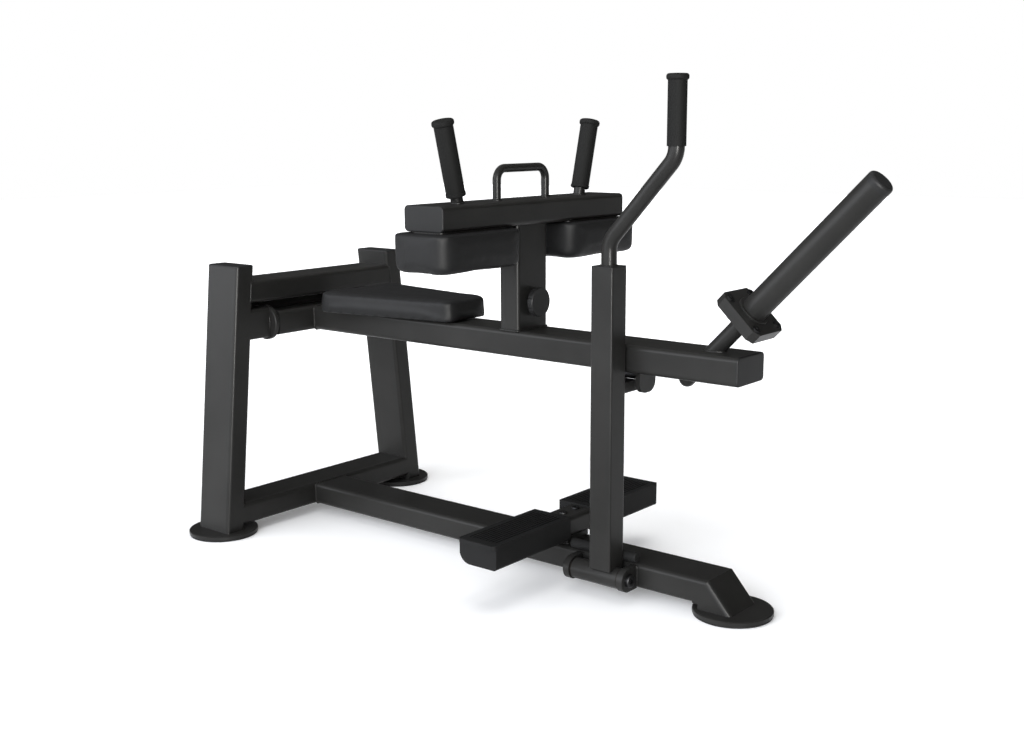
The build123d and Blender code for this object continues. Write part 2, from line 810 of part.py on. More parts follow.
def release_handle():
    """Bent tube that stands in the post, leans forward and ends upright in the grip."""
    x = release_post_x
    y = release_y
    path = FilletPolyline((x, y, handle_low_z), (x, y, handle_bend_z),
                          (x + handle_reach, y, handle_bend_z + handle_rise),
                          (x + handle_reach, y, handle_top_z), radius=handle_bend_r)
    start = Plane(origin=path @ 0, z_dir=path % 0)
    outer = sweep(start * Circle(handle_r), path=path)
    return outer - sweep(start * Circle(handle_r - handle_wall), path=path)


def release_grip():
    x = release_post_x + handle_reach
    y = release_y
    cap_z = handle_top_z - grip_cap_t / 2
    grip = rail((x, y, release_grip_z), (x, y, cap_z + 1), Circle(release_grip_r))
    cap = rail((x, y, cap_z), (x, y, cap_z + grip_cap_t), Circle(release_cap_r))
    cap = fillet(cap.edges(), grip_cap_t * 0.4)
    bar = rail((x, y, release_grip_z), (x, y, handle_top_z), Circle(handle_r))
    return grip + cap - bar


# ---- stop bar ----------------------------------------------------------------
def stop_bar():
    """Steel bar along the base beam's top edge, on one welded bracket."""
    rod = rail((stop_x0 + 2, stop_y, stop_z), (stop_x1 - 2, stop_y, stop_z), Circle(stop_r))
    half = stop_bracket_len / 2
    bracket = block(stop_bracket_x - half, stop_bracket_x + half, stop_y - stop_r,
                    stop_y + 3 * stop_r, base_z1 - 1, stop_z)
    beam = rail((0, 0, base_z), (nose_joint_x, 0, base_z),
                RectangleRounded(tube_w, tube_h, tube_corner), x_dir=(0, 1, 0))
    return rod + (bracket - beam)


def stop_rubber(x0, x1):
    rubber = rail((x0, stop_y, stop_z), (x1, stop_y, stop_z), Circle(stop_rubber_r))
    rubber = fillet(rubber.edges(), 2.0)
    inner = rail((stop_x0 + 2, stop_y, stop_z), (stop_x1 - 2, stop_y, stop_z), Circle(stop_r))
    return rubber - inner


def stop_rubbers():
    half = stop_bracket_len / 2
    return Compound([stop_rubber(stop_x0, stop_bracket_x - half),
                              stop_rubber(stop_bracket_x + half, stop_x1)])


# ---- catch -------------------------------------------------------------------
def catch_lug(x0):
    """Plate under the lever beam that holds one end of the catch roller."""
    outline = Pos(0, lever_z0 - catch_lug_h / 2) * Rectangle(catch_lug_w, catch_lug_h)
    outline = fillet(outline.vertices().group_by(Axis.Y)[0], catch_lug_corner)
    plate = extrude(Plane.YZ.offset(x0) * outline, catch_lug_t)
    return plate - catch_rod(catch_pin_r, x0, x0 + catch_lug_t)


def catch_rod(radius, x0, x1):
    return rail((x0, 0, catch_roller_z), (x1, 0, catch_roller_z), Circle(radius))


def catch_lugs():
    half = catch_lug_gap / 2
    rear = catch_lug(release_post_x - half - catch_lug_t)
    front = catch_lug(release_post_x + half)
    return Compound([rear, front])


def catch_roller():
    half = catch_lug_gap / 2
    roller = catch_rod(catch_roller_r, release_post_x - half, release_post_x + half)
    pin = catch_rod(catch_pin_r, release_post_x - half - catch_lug_t,
                    release_post_x + half + catch_lug_t)
    return roller + pin


def catch_arm():
    """Arm from the release post to under the roller; its tip ramps down to swing clear of it."""
    x0 = release_post_x - catch_arm_t / 2
    x1 = release_post_x + catch_arm_t / 2
    reach = Vector(0 - release_y, catch_roller_z - release_z).length
    swing = release_axis(reach - catch_roller_r - free_gap, x0, x1)
    top = catch_roller_z - catch_roller_r - free_gap
    return swing & block(x0, x1, release_far_y, catch_arm_y, top - catch_arm_h, top)


# ---- write every node --------------------------------------------------------
def build():
    os.makedirs("parts", exist_ok=True)
    legs = leg()
    stub = pivot_stub()
    tread_right = tread()
    grip_right = handle_grip()
    pad_right = thigh_pad()
    main_section = tube_section(tube_w, tube_h)
    rear, front = release_lug_faces()
    cap_start = (lever_end_x - cap_t, 0, lever_z)
    nodes = {
        "base_beam": base_beam(),
        "rear_foot_beam": between_legs(-tube_w / 2, base_z, main_section),
        "leg_right": legs,
        "leg_left": left_of(legs),
        "leg_caps": both_sides(leg_cap()),
        "top_crossbar": between_legs(-tube_w / 2, crossbar_z, main_section),
        "pivot_guard": pivot_guard(),
        "pivot_stub_right": stub,
        "pivot_stub_left": left_of(stub),
        "pivot_collars": both_sides(pivot_collar()),
        "pivot_shaft": pivot_rod(shaft_r, shaft_half()),
        "pivot_shaft_nuts": both_sides(shaft_nut()),
        "foot_discs": feet(foot_disc),
        "foot_rubbers": feet(foot_rubber),
        "footbar_saddle": footbar_saddle(),
        "footbar_tube": footbar_tube(),
        "footbar_tread_right": tread_right,
        "footbar_tread_left": left_of(tread_right),
        "footbar_bolts": footbar_bolts(),
        "release_lug_front": release_lug(front, front + lug_t),
        "release_lug_rear": release_lug(rear - lug_t, rear),
        "release_pivot_bolt": release_pin(),
        "stop_bar": stop_bar(),
        "stop_bar_rubbers": stop_rubbers(),
        "lever_beam": lever_beam(),
        "lever_beam_cap": tube_cap(cap_start, (lever_end_x, 0, lever_z), lever_h, (0, 1, 0)),
        "pivot_hub": pivot_hub(),
        "pivot_bushes": both_sides(pivot_bush()),
        "seat_plate": seat_plate(),
        "seat_pad": seat_pad(),
        "seat_bolts": Compound([seat_bolt(x) for x in seat_bolt_xs]),
        "post_sleeve": post_sleeve(),
        "post_glides": Compound([glide(glide_low_z), glide(sleeve_top - glide_h)]),
        "pin_housing": pin_housing(),
        "horn_rod": horn_rod(),
        "horn_flange": horn_flange(),
        "horn_flange_screws": horn_screws(),
        "horn_ring": horn_ring(),
        "horn_sleeve": horn_sleeve(),
        "horn_cap": horn_cap(),
        "catch_lugs": catch_lugs(),
        "catch_roller": catch_roller(),
        "carriage_post": carriage_post(),
        "pad_crossbar": pad_crossbar(),
        "crossbar_caps": both_sides(crossbar_cap()),
        "pad_plates": both_sides(pad_plate()),
        "thigh_pad_right": pad_right,
        "thigh_pad_left": left_of(pad_right),
        "handle_bars": both_sides(handle_bar()),
        "handle_grip_right": grip_right,
        "handle_grip_left": left_of(grip_right),
        "lift_handle": lift_handle(),
        "pull_pin": pull_pin(),
        "pull_knob": pull_knob(),
        "release_hub": release_hub(),
        "release_bushes": release_bushes(),
        "release_post": release_post(),
        "release_post_cap": release_post_cap(),
        "release_handle": release_handle(),
        "release_grip": release_grip(),
        "catch_arm": catch_arm(),
    }
    for node, shape in nodes.items():
        save(shape, node)
    print(len(nodes), "nodes, origin", round(centre_x, 3), "mm ahead of the rear legs' front faces")


build()
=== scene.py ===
# %% [markdown]
# # A plate-loaded seated calf raise machine
# The welded frame, the lever and the fittings arrive as finished solids from the CAD
# model.  This lesson gives them their finishes, sews and stuffs the three pads, lays
# the weld beads, and lights the machine like a catalogue picture.

# %% Open the machine
import bpy
import bmesh
import json
import math
from mathutils import Matrix, Vector


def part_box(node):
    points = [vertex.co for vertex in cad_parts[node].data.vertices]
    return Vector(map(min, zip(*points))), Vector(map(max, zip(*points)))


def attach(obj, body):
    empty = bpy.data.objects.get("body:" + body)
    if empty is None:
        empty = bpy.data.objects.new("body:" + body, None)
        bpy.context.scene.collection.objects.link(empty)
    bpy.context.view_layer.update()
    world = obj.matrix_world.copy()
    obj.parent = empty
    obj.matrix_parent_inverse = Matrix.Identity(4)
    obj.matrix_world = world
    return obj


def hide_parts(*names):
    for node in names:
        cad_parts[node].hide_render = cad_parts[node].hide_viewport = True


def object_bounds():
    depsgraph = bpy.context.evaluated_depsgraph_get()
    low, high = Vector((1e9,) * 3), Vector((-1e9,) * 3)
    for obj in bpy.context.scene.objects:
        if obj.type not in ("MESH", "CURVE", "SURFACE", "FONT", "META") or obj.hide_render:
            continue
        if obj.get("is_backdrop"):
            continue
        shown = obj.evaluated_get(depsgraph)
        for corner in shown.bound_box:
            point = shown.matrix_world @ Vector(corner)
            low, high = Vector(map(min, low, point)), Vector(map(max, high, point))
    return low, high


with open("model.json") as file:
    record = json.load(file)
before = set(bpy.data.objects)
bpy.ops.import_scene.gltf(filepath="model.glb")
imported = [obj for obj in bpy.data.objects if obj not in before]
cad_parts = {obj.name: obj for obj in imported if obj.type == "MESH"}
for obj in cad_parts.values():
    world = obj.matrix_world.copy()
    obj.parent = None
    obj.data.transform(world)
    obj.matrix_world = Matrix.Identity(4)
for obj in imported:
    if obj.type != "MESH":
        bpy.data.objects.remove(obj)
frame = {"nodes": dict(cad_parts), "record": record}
nodes = frame["nodes"]
scene = bpy.context.scene
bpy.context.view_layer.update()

# %% [markdown]
# ## Camera
# The machine is seen from its front right corner at about hip height.  A lens of about
# normal length gives the long beams a mild perspective.  The camera's axes are built
# from an azimuth, an elevation and a very small roll.

# %% Place the camera
azimuth = math.radians(39.272)
elevation = math.radians(11.156)
roll = math.radians(-0.282)
back = Vector((math.sin(azimuth) * math.cos(elevation),
               -math.cos(azimuth) * math.cos(elevation), math.sin(elevation)))
level = Vector((math.cos(azimuth), math.sin(azimuth), 0.0))
upward = back.cross(level)
right = math.cos(roll) * level + math.sin(roll) * upward
upward = back.cross(right)

lens = bpy.data.cameras.new("catalogue_lens")
lens.sensor_width = 36.0
lens.lens = 44.772
camera = bpy.data.objects.new("catalogue_camera", lens)
scene.collection.objects.link(camera)
camera.matrix_world = Matrix((
    (right.x, upward.x, back.x, 1.6250),
    (right.y, upward.y, back.y, -2.0568),
    (right.z, upward.z, back.z, 0.9200),
    (0.0, 0.0, 0.0, 1.0)))
scene.camera = camera
print("camera:", round(lens.lens, 1), "mm lens")

# %% [markdown]
# ## Studio
# The floor is one large pale sheet.  Besides the light that falls on it, it glows a
# little, so that the shadow under the beams stays soft and pale.  To the camera the
# glow grows away from the machine, until the sheet burns out to white.

# %% Lay the floor
def plain_material(name, colour, roughness):
    """A new node material and its shader."""
    material = bpy.data.materials.new(name)
    material.use_nodes = True
    shader = material.node_tree.nodes["Principled BSDF"]
    shader.inputs["Base Color"].default_value = (*colour, 1.0)
    shader.inputs["Roughness"].default_value = roughness
    return material, shader


floor_size = 14.0
floor_drop = 0.0005
floor_mesh = bmesh.new()
bmesh.ops.create_grid(floor_mesh, x_segments=1, y_segments=1, size=floor_size)
bmesh.ops.translate(floor_mesh, verts=floor_mesh.verts, vec=(0.0, 0.0, -floor_drop))
floor_data = bpy.data.meshes.new("studio_floor")
floor_mesh.to_mesh(floor_data)
floor_mesh.free()
floor = bpy.data.objects.new("studio_floor", floor_data)
scene.collection.objects.link(floor)
print("floor laid")

# %% Paper the floor
floor_glow, far_glow = 0.17, 0.92
glow_starts, glow_ends = 1.0, 4.0
floor_paper, floor_shader = plain_material("studio_paper", (0.9, 0.9, 0.9), 0.9)
floor_shader.inputs["Specular IOR Level"].default_value = 0.0
floor_shader.inputs["Emission Color"].default_value = (1.0, 1.0, 1.0, 1.0)
spread = floor_paper.node_tree.nodes
joins = floor_paper.node_tree.links
spot = spread.new("ShaderNodeTexCoord")
reach = spread.new("ShaderNodeVectorMath")
reach.operation = "LENGTH"
joins.new(spot.outputs["Object"], reach.inputs[0])
fade = spread.new("ShaderNodeMapRange")
fade.inputs["From Min"].default_value = glow_starts
fade.inputs["From Max"].default_value = glow_ends
fade.inputs["To Min"].default_value = floor_glow
fade.inputs["To Max"].default_value = far_glow
joins.new(reach.outputs["Value"], fade.inputs["Value"])
seen = spread.new("ShaderNodeLightPath")
glow = spread.new("ShaderNodeMix")
glow.inputs["A"].default_value = floor_glow
joins.new(seen.outputs["Is Camera Ray"], glow.inputs["Factor"])
joins.new(fade.outputs["Result"], glow.inputs["B"])
joins.new(glow.outputs["Result"], floor_shader.inputs["Emission Strength"])
floor_data.materials.append(floor_paper)
floor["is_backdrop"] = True
print("floor papered: its glow grows from", floor_glow, "to", far_glow)

# %% [markdown]
# Much of the light is the studio itself: a bright wall on the machine's right side, a
# dark one in front of it, and a dim ceiling.  That makes the faces that look to the
# right lighter than the faces that look forward.  The air shows plain white to the
# camera, and the walls only in what they light.

# %% Build the studio walls
def wall_light(tree, axes, socket, sign, start, end):
    """How far a direction points at one wall, from 0 to 1."""
    reach = tree.nodes.new("ShaderNodeMapRange")
    reach.interpolation_type = "SMOOTHSTEP"
    reach.inputs["From Min"].default_value = sign * start
    reach.inputs["From Max"].default_value = sign * end
    tree.links.new(axes.outputs[socket], reach.inputs["Value"])
    return reach.outputs["Result"]


def lit_mix(tree, amount, under, colour):
    """Lay a wall's colour over what is there already."""
    mix = tree.nodes.new("ShaderNodeMix")
    mix.data_type = "RGBA"
    mix.inputs["B"].default_value = (*colour, 1.0)
    tree.links.new(amount, mix.inputs["Factor"])
    tree.links.new(under, mix.inputs["A"])
    return mix.outputs["Result"]


world = bpy.data.worlds.new("studio_air")
world.use_nodes = True
scene.world = world
tree = world.node_tree
air = tree.nodes["Background"]
air.inputs["Strength"].default_value = 1.0
facing = tree.nodes.new("ShaderNodeTexCoord")
axes = tree.nodes.new("ShaderNodeSeparateXYZ")
tree.links.new(facing.outputs["Generated"], axes.inputs["Vector"])
walls = tree.nodes.new("ShaderNodeRGB")
walls.outputs[0].default_value = (0.05, 0.05, 0.05, 1.0)
light = lit_mix(tree, wall_light(tree, axes, "Y", -1, 0.2, 0.9), walls.outputs[0],
                (5.8, 5.95, 6.25))
light = lit_mix(tree, wall_light(tree, axes, "X", 1, 0.2, 0.9), light, (0.10, 0.09, 0.06))
light = lit_mix(tree, wall_light(tree, axes, "Z", 1, 0.4, 0.9), light, (0.30, 0.30, 0.30))
rays = tree.nodes.new("ShaderNodeLightPath")
light = lit_mix(tree, rays.outputs["Is Camera Ray"], light, (1.0, 1.0, 1.0))
tree.links.new(light, air.inputs["Color"])
print("walls built")

# %% [markdown]
# Two lamps finish the studio.  A soft box overhead draws the shadow on the floor, and is
# kept out of reflections so that it puts no shine on the tops of the beams.  A narrow
# upright strip to the right of the camera adds only reflections, along rounded edges.

# %% Hang the lights
def soft_box(name, place, aim, width, power, colour):
    """A square lamp at place that faces aim."""
    lamp = bpy.data.lights.new(name, "AREA")
    lamp.shape = "SQUARE"
    lamp.size = width
    lamp.energy = power
    lamp.color = colour
    holder = bpy.data.objects.new(name, lamp)
    scene.collection.objects.link(holder)
    holder.location = place
    holder.rotation_mode = "QUATERNION"
    holder.rotation_quaternion = (Vector(place) - Vector(aim)).to_track_quat("Z", "Y")
    return holder


def tall_strip(name, place, aim, width, height, power, colour):
    """A narrow upright lamp that is seen only in reflections."""
    strip = soft_box(name, place, aim, width, power, colour)
    strip.data.shape = "RECTANGLE"
    strip.data.size_y = height
    strip.visible_diffuse = False
    return strip


top_light = soft_box("top_soft_box", (-0.3, 0.2, 3.4), (0.0, 0.0, 0.3), 2.4, 60.0,
                     (1.0, 1.0, 1.0))
top_light.visible_glossy = False
tall_strip("edge_strip", (3.4, -2.9, 1.0), (0.0, 0.0, 0.4), 0.35, 2.6, 520.0, (1.0, 0.99, 0.96))
scene.view_settings.view_transform = "Standard"
print("lights hung")

# %% [markdown]
# ## Powder coat
# The steel is sprayed with black powder and baked, which leaves a satin skin with a very
# fine pebble.  Two noises make it: a small one bumps the surface, and a large one
# shifts the colour and the gloss a little, as handling and dust do.

# %% Mix a pebbled finish
def pebbled(name, colour, roughness, pebble, depth, mottle=0.12, gloss_level=0.13):
    """A dark finish with a fine pebble: pebble is its size in metres, depth its height."""
    material, shader = plain_material(name, colour, roughness)
    tree = material.node_tree
    place = tree.nodes.new("ShaderNodeTexCoord")
    grain = tree.nodes.new("ShaderNodeTexNoise")
    grain.inputs["Scale"].default_value = 1.0 / pebble
    grain.inputs["Detail"].default_value = 2.0
    tree.links.new(place.outputs["Object"], grain.inputs["Vector"])
    bump = tree.nodes.new("ShaderNodeBump")
    bump.inputs["Strength"].default_value = 0.6
    bump.inputs["Distance"].default_value = depth
    tree.links.new(grain.outputs["Fac"], bump.inputs["Height"])
    tree.links.new(bump.outputs["Normal"], shader.inputs["Normal"])
    cloud = tree.nodes.new("ShaderNodeTexNoise")
    cloud.inputs["Scale"].default_value = 9.0
    cloud.inputs["Detail"].default_value = 4.0
    tree.links.new(place.outputs["Object"], cloud.inputs["Vector"])
    shade = tree.nodes.new("ShaderNodeMapRange")
    shade.inputs["From Min"].default_value = 0.3
    shade.inputs["From Max"].default_value = 0.7
    shade.inputs["To Min"].default_value = 1.0 - mottle
    shade.inputs["To Max"].default_value = 1.0 + mottle
    tree.links.new(cloud.outputs["Fac"], shade.inputs["Value"])
    paint = tree.nodes.new("ShaderNodeMix")
    paint.data_type = "RGBA"
    paint.blend_type = "MULTIPLY"
    paint.inputs["Factor"].default_value = 1.0
    paint.inputs["A"].default_value = (*colour, 1.0)
    tree.links.new(shade.outputs["Result"], paint.inputs["B"])
    tree.links.new(paint.outputs["Result"], shader.inputs["Base Color"])
    sheen = tree.nodes.new("ShaderNodeMath")
    sheen.operation = "MULTIPLY"
    sheen.inputs[1].default_value = roughness
    tree.links.new(shade.outputs["Result"], sheen.inputs[0])
    tree.links.new(sheen.outputs["Value"], shader.inputs["Roughness"])
    shader.inputs["Specular IOR Level"].default_value = gloss_level
    return material


powder_coat = pebbled("powder_coat", (0.0182, 0.0178, 0.0168), 0.33, 0.0014, 0.00006)
cap_plastic = pebbled("cap_plastic", (0.016, 0.016, 0.016), 0.46, 0.0009, 0.00005)
tread_plastic = pebbled("tread_plastic", (0.013, 0.013, 0.013), 0.58, 0.0018, 0.00008,
                        gloss_level=0.06)
foot_rubber = pebbled("foot_rubber", (0.012, 0.012, 0.012), 0.70, 0.0012, 0.00008)
print("pebbled finishes mixed")

# %% [markdown]
# ## Grip rubber
# The hand grips are soft rubber moulded with a fine diamond knurl.  Two sets of bands
# that lean opposite ways cross to make the diamonds.  The bands run in the object's own
# coordinates, so each grip shows them at the same small scale.

# %% Mix the grip rubber
def knurled(name, colour, roughness, pitch, depth):
    """Soft rubber with a diamond knurl: pitch between the bands, depth of the grooves."""
    material, shader = plain_material(name, colour, roughness)
    tree = material.node_tree
    place = tree.nodes.new("ShaderNodeTexCoord")
    heights = []
    for lean in (1.0, -1.0):
        turn = tree.nodes.new("ShaderNodeMapping")
        turn.inputs["Rotation"].default_value = (lean * math.radians(50), 0.0,
                                                 lean * math.radians(35))
        tree.links.new(place.outputs["Object"], turn.inputs["Vector"])
        band = tree.nodes.new("ShaderNodeTexWave")
        band.wave_type = "BANDS"
        band.bands_direction = "Z"
        band.inputs["Scale"].default_value = 0.314 / pitch
        tree.links.new(turn.outputs["Vector"], band.inputs["Vector"])
        heights.append(band.outputs["Fac"])
    cross = tree.nodes.new("ShaderNodeMath")
    cross.operation = "MULTIPLY"
    tree.links.new(heights[0], cross.inputs[0])
    tree.links.new(heights[1], cross.inputs[1])
    bump = tree.nodes.new("ShaderNodeBump")
    bump.inputs["Strength"].default_value = 0.5
    bump.inputs["Distance"].default_value = depth
    tree.links.new(cross.outputs["Value"], bump.inputs["Height"])
    tree.links.new(bump.outputs["Normal"], shader.inputs["Normal"])
    shader.inputs["Specular IOR Level"].default_value = 0.06
    return material


grip_rubber = knurled("grip_rubber", (0.011, 0.011, 0.0105), 0.66, 0.0030, 0.00035)
print("grip rubber mixed")

# %% [markdown]
# ## Bare metal
# The shafts, bolts and bushes are not painted.  The steel is blackened and has fine
# turning marks, and the bushes are sintered bronze that has gone dark with oil.

# %% Mix the bare metals
def turned_metal(name, colour, roughness):
    """Bare metal whose gloss varies with fine turning marks."""
    material, shader = plain_material(name, colour, roughness)
    shader.inputs["Metallic"].default_value = 1.0
    tree = material.node_tree
    place = tree.nodes.new("ShaderNodeTexCoord")
    marks = tree.nodes.new("ShaderNodeTexNoise")
    marks.inputs["Scale"].default_value = 900.0
    marks.inputs["Detail"].default_value = 3.0
    tree.links.new(place.outputs["Object"], marks.inputs["Vector"])
    spread = tree.nodes.new("ShaderNodeMapRange")
    spread.inputs["To Min"].default_value = roughness - 0.08
    spread.inputs["To Max"].default_value = roughness + 0.12
    tree.links.new(marks.outputs["Fac"], spread.inputs["Value"])
    tree.links.new(spread.outputs["Result"], shader.inputs["Roughness"])
    return material


bare_steel = turned_metal("bare_steel", (0.030, 0.030, 0.031), 0.42)
bush_bronze = turned_metal("bush_bronze", (0.016, 0.014, 0.012), 0.5)
print("bare metals mixed")

# %% [markdown]
# ## Dressing the CAD solids
# Every solid of the CAD model takes the finish of its slot in the record.  The rubber
# slot covers both the knurled grips and the plain feet, so the feet and the stop
# bar's sleeves are picked out by name.

# %% Dress the solids
# The pads' own solids give way to cushions later, so their finish here never shows.
finishes = {"powder_coat": powder_coat, "cap_plastic": cap_plastic,
            "tread_plastic": tread_plastic, "grip_rubber": grip_rubber,
            "bare_steel": bare_steel, "bush_bronze": bush_bronze,
            "pad_vinyl": powder_coat}
plain_rubber = ("foot_rubbers", "stop_bar_rubbers")
slot_of = {part["node"]: part["material_slot"] for part in frame["record"]["subparts"]}
for node_name, slot_name in slot_of.items():
    mesh = nodes[node_name].data
    mesh.materials.clear()
    mesh.materials.append(foot_rubber if node_name in plain_rubber else finishes[slot_name])
print("dressed", len(slot_of), "solids")

# %% [markdown]
# ## Upholstery vinyl
# The pads are covered in black vinyl with a fine leather grain.  Small cells with soft
# valleys between them are the grain, and a slow noise gives the slightly uneven sheen
# of a stretched cover.

# %% Mix the vinyl
def grained_vinyl(name, colour, roughness):
    """Stretched vinyl with a leather grain."""
    material, shader = plain_material(name, colour, roughness)
    tree = material.node_tree
    place = tree.nodes.new("ShaderNodeTexCoord")
    cells = tree.nodes.new("ShaderNodeTexVoronoi")
    cells.feature = "DISTANCE_TO_EDGE"
    cells.inputs["Scale"].default_value = 620.0
    tree.links.new(place.outputs["Object"], cells.inputs["Vector"])
    valley = tree.nodes.new("ShaderNodeMapRange")
    valley.inputs["From Max"].default_value = 0.12
    tree.links.new(cells.outputs["Distance"], valley.inputs["Value"])
    grain = tree.nodes.new("ShaderNodeBump")
    grain.inputs["Strength"].default_value = 0.35
    grain.inputs["Distance"].default_value = 0.00015
    tree.links.new(valley.outputs["Result"], grain.inputs["Height"])
    slack = tree.nodes.new("ShaderNodeTexNoise")
    slack.inputs["Scale"].default_value = 22.0
    slack.inputs["Detail"].default_value = 2.0
    tree.links.new(place.outputs["Object"], slack.inputs["Vector"])
    ripple = tree.nodes.new("ShaderNodeBump")
    ripple.inputs["Strength"].default_value = 0.10
    ripple.inputs["Distance"].default_value = 0.0015
    tree.links.new(slack.outputs["Fac"], ripple.inputs["Height"])
    tree.links.new(grain.outputs["Normal"], ripple.inputs["Normal"])
    tree.links.new(ripple.outputs["Normal"], shader.inputs["Normal"])
    worn = tree.nodes.new("ShaderNodeMapRange")
    worn.inputs["To Min"].default_value = roughness - 0.06
    worn.inputs["To Max"].default_value = roughness + 0.08
    tree.links.new(slack.outputs["Fac"], worn.inputs["Value"])
    tree.links.new(worn.outputs["Result"], shader.inputs["Roughness"])
    shader.inputs["Specular IOR Level"].default_value = 0.12
    return material


pad_vinyl = grained_vinyl("pad_vinyl", (0.013, 0.013, 0.0132), 0.47)
print("vinyl mixed")

# %% [markdown]
# ## Stuffing the pads
# Each pad is firm foam on a board, pulled tight under a vinyl cover.  A block with
# rounded edges looks like painted wood, so each cover is blown up a little as cloth: it
# starts a touch smaller than the finished pad, is held fast where it is stapled to its
# board, and air pressure pushes the rest out until the faces crown softly.

# %% Make a cover ready for stuffing
def cover_mesh(node_name, board_side, shrink, cell):
    """A closed, evenly meshed copy of a pad's solid, a little smaller on every side."""
    solid = bmesh.new()
    solid.from_mesh(nodes[node_name].data)
    bmesh.ops.remove_doubles(solid, verts=solid.verts, dist=1e-5)
    low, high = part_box(node_name)
    centre = (Vector(low) + Vector(high)) / 2
    centre.z = high[2] if board_side > 0 else low[2]
    size = Vector(high) - Vector(low)
    factors = [(side - 2 * shrink) / side for side in size]
    bmesh.ops.scale(solid, vec=factors, space=Matrix.Translation(-centre), verts=solid.verts)
    mesh = bpy.data.meshes.new(node_name + "_cover")
    solid.to_mesh(mesh)
    solid.free()
    holder = bpy.data.objects.new(node_name + "_cover", mesh)
    scene.collection.objects.link(holder)
    even = holder.modifiers.new("even", "REMESH")
    even.mode = "VOXEL"
    even.voxel_size = cell
    even.use_smooth_shade = True
    graph = bpy.context.evaluated_depsgraph_get()
    meshed = bpy.data.meshes.new_from_object(holder.evaluated_get(graph))
    bpy.data.objects.remove(holder)
    return meshed


# %% Blow up a cover
air_pressure = 4.0
cloth_frames = 20


def blown_up(cover):
    """Where every point of a cover comes to rest once the air has pushed it out."""
    cloth = cover.modifiers.new("cloth", "CLOTH")
    cloth.settings.vertex_group_mass = "stapled"
    cloth.settings.use_pressure = True
    cloth.settings.uniform_pressure_force = air_pressure
    cloth.settings.effector_weights.gravity = 0.0
    cloth.settings.tension_stiffness = 25.0
    cloth.settings.compression_stiffness = 25.0
    cloth.settings.bending_stiffness = 2.0
    cloth.collision_settings.use_collision = False
    cloth.point_cache.frame_start = 1
    cloth.point_cache.frame_end = cloth_frames
    for step in range(1, cloth_frames + 1):
        scene.frame_set(step)
    graph = bpy.context.evaluated_depsgraph_get()
    rest = [v.co.copy() for v in cover.evaluated_get(graph).data.vertices]
    cover.modifiers.remove(cloth)
    return rest


def crown(cover, cap):
    """Push a cover out as cloth, but move no point further than cap, in metres."""
    furthest = 0.0
    for vertex, end in zip(cover.data.vertices, blown_up(cover)):
        move = end - vertex.co
        if move.length > cap:
            move = move * (cap / move.length)
        furthest = max(furthest, move.length)
        vertex.co = vertex.co + move
    scene.frame_set(1)
    print(cover.name, "crowned by up to", round(furthest * 1000, 1), "mm")


print("covers are blown up over", cloth_frames, "frames")

# %% Soften and stuff a cover
cover_shrink = 0.0006
cover_cell = 0.005
staple_band = 0.011


def soften(cover):
    """Ease the small steps of the even mesh and give the cover its vinyl."""
    mesh = cover.data
    smooth = bmesh.new()
    smooth.from_mesh(mesh)
    for _ in range(2):
        bmesh.ops.smooth_vert(smooth, verts=smooth.verts, factor=0.4,
                              use_axis_x=True, use_axis_y=True, use_axis_z=True)
    smooth.to_mesh(mesh)
    smooth.free()
    for face in mesh.polygons:
        face.use_smooth = True
    mesh.materials.clear()
    mesh.materials.append(pad_vinyl)
    finer = cover.modifiers.new("finer", "SUBSURF")
    finer.levels = 1
    finer.render_levels = 1


def stuffed(name, node_name, board_side, cap):
    """A cloth cover blown up over its foam; board_side is +1 or -1, the Z side it is
    stapled on, and cap is the furthest any point may move, in metres."""
    mesh = cover_mesh(node_name, board_side, cover_shrink, cover_cell)
    cover = bpy.data.objects.new(name, mesh)
    scene.collection.objects.link(cover)
    low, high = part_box(node_name)
    board = high[2] if board_side > 0 else low[2]
    held = cover.vertex_groups.new(name="stapled")
    held.add([v.index for v in mesh.vertices if abs(v.co.z - board) < staple_band],
             1.0, "REPLACE")
    crown(cover, cap)
    soften(cover)
    return cover


print("covers are made", round(cover_shrink * 1000, 1), "mm small on every side")

# %% Stuff the three pads
pads = {
    "seat_cushion": ("seat_pad", "lever", -1, 0.0018),
    "thigh_cushion_right": ("thigh_pad_right", "pad_carriage", 1, 0.0020),
    "thigh_cushion_left": ("thigh_pad_left", "pad_carriage", 1, 0.0020),
}
for pad_name, (node_name, body, board_side, cap) in pads.items():
    cushion = stuffed(pad_name, node_name, board_side, cap)
    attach(cushion, body)
    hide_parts(node_name)
print("pads stuffed:", ", ".join(pads))

# %% [markdown]
# ## Cover seams
# The cover of each pad is closed by a sewn welt.  On the seat it comes down the front
# near the left corner, and on each thigh pad it comes down the outer end, a third of
# the way from the rear.  A welt is a thin cord under the vinyl, so it is modelled as a
# fine tube, laid on the stuffed cover by finding the nearest point of its surface.

# %% Sew a welt
def tube_from_line(name, points, radius, material, closed=False, ripple=None):
    """A mesh tube along a line; ripple gives a thickness factor for each point."""
    curve = bpy.data.curves.new(name, "CURVE")
    curve.dimensions = "3D"
    curve.bevel_depth = radius
    curve.bevel_resolution = 3
    curve.use_fill_caps = not closed
    line = curve.splines.new("POLY")
    line.points.add(len(points) - 1)
    for i, (knot, point) in enumerate(zip(line.points, points)):
        knot.co = (*point, 1.0)
        knot.radius = ripple[i % len(ripple)] if ripple else 1.0
    line.use_cyclic_u = closed
    holder = bpy.data.objects.new(name, curve)
    scene.collection.objects.link(holder)
    graph = bpy.context.evaluated_depsgraph_get()
    mesh = bpy.data.meshes.new_from_object(holder.evaluated_get(graph))
    bpy.data.objects.remove(holder)
    piece = bpy.data.objects.new(name, mesh)
    scene.collection.objects.link(piece)
    mesh.materials.clear()
    mesh.materials.append(material)
    for face in mesh.polygons:
        face.use_smooth = True
    return piece


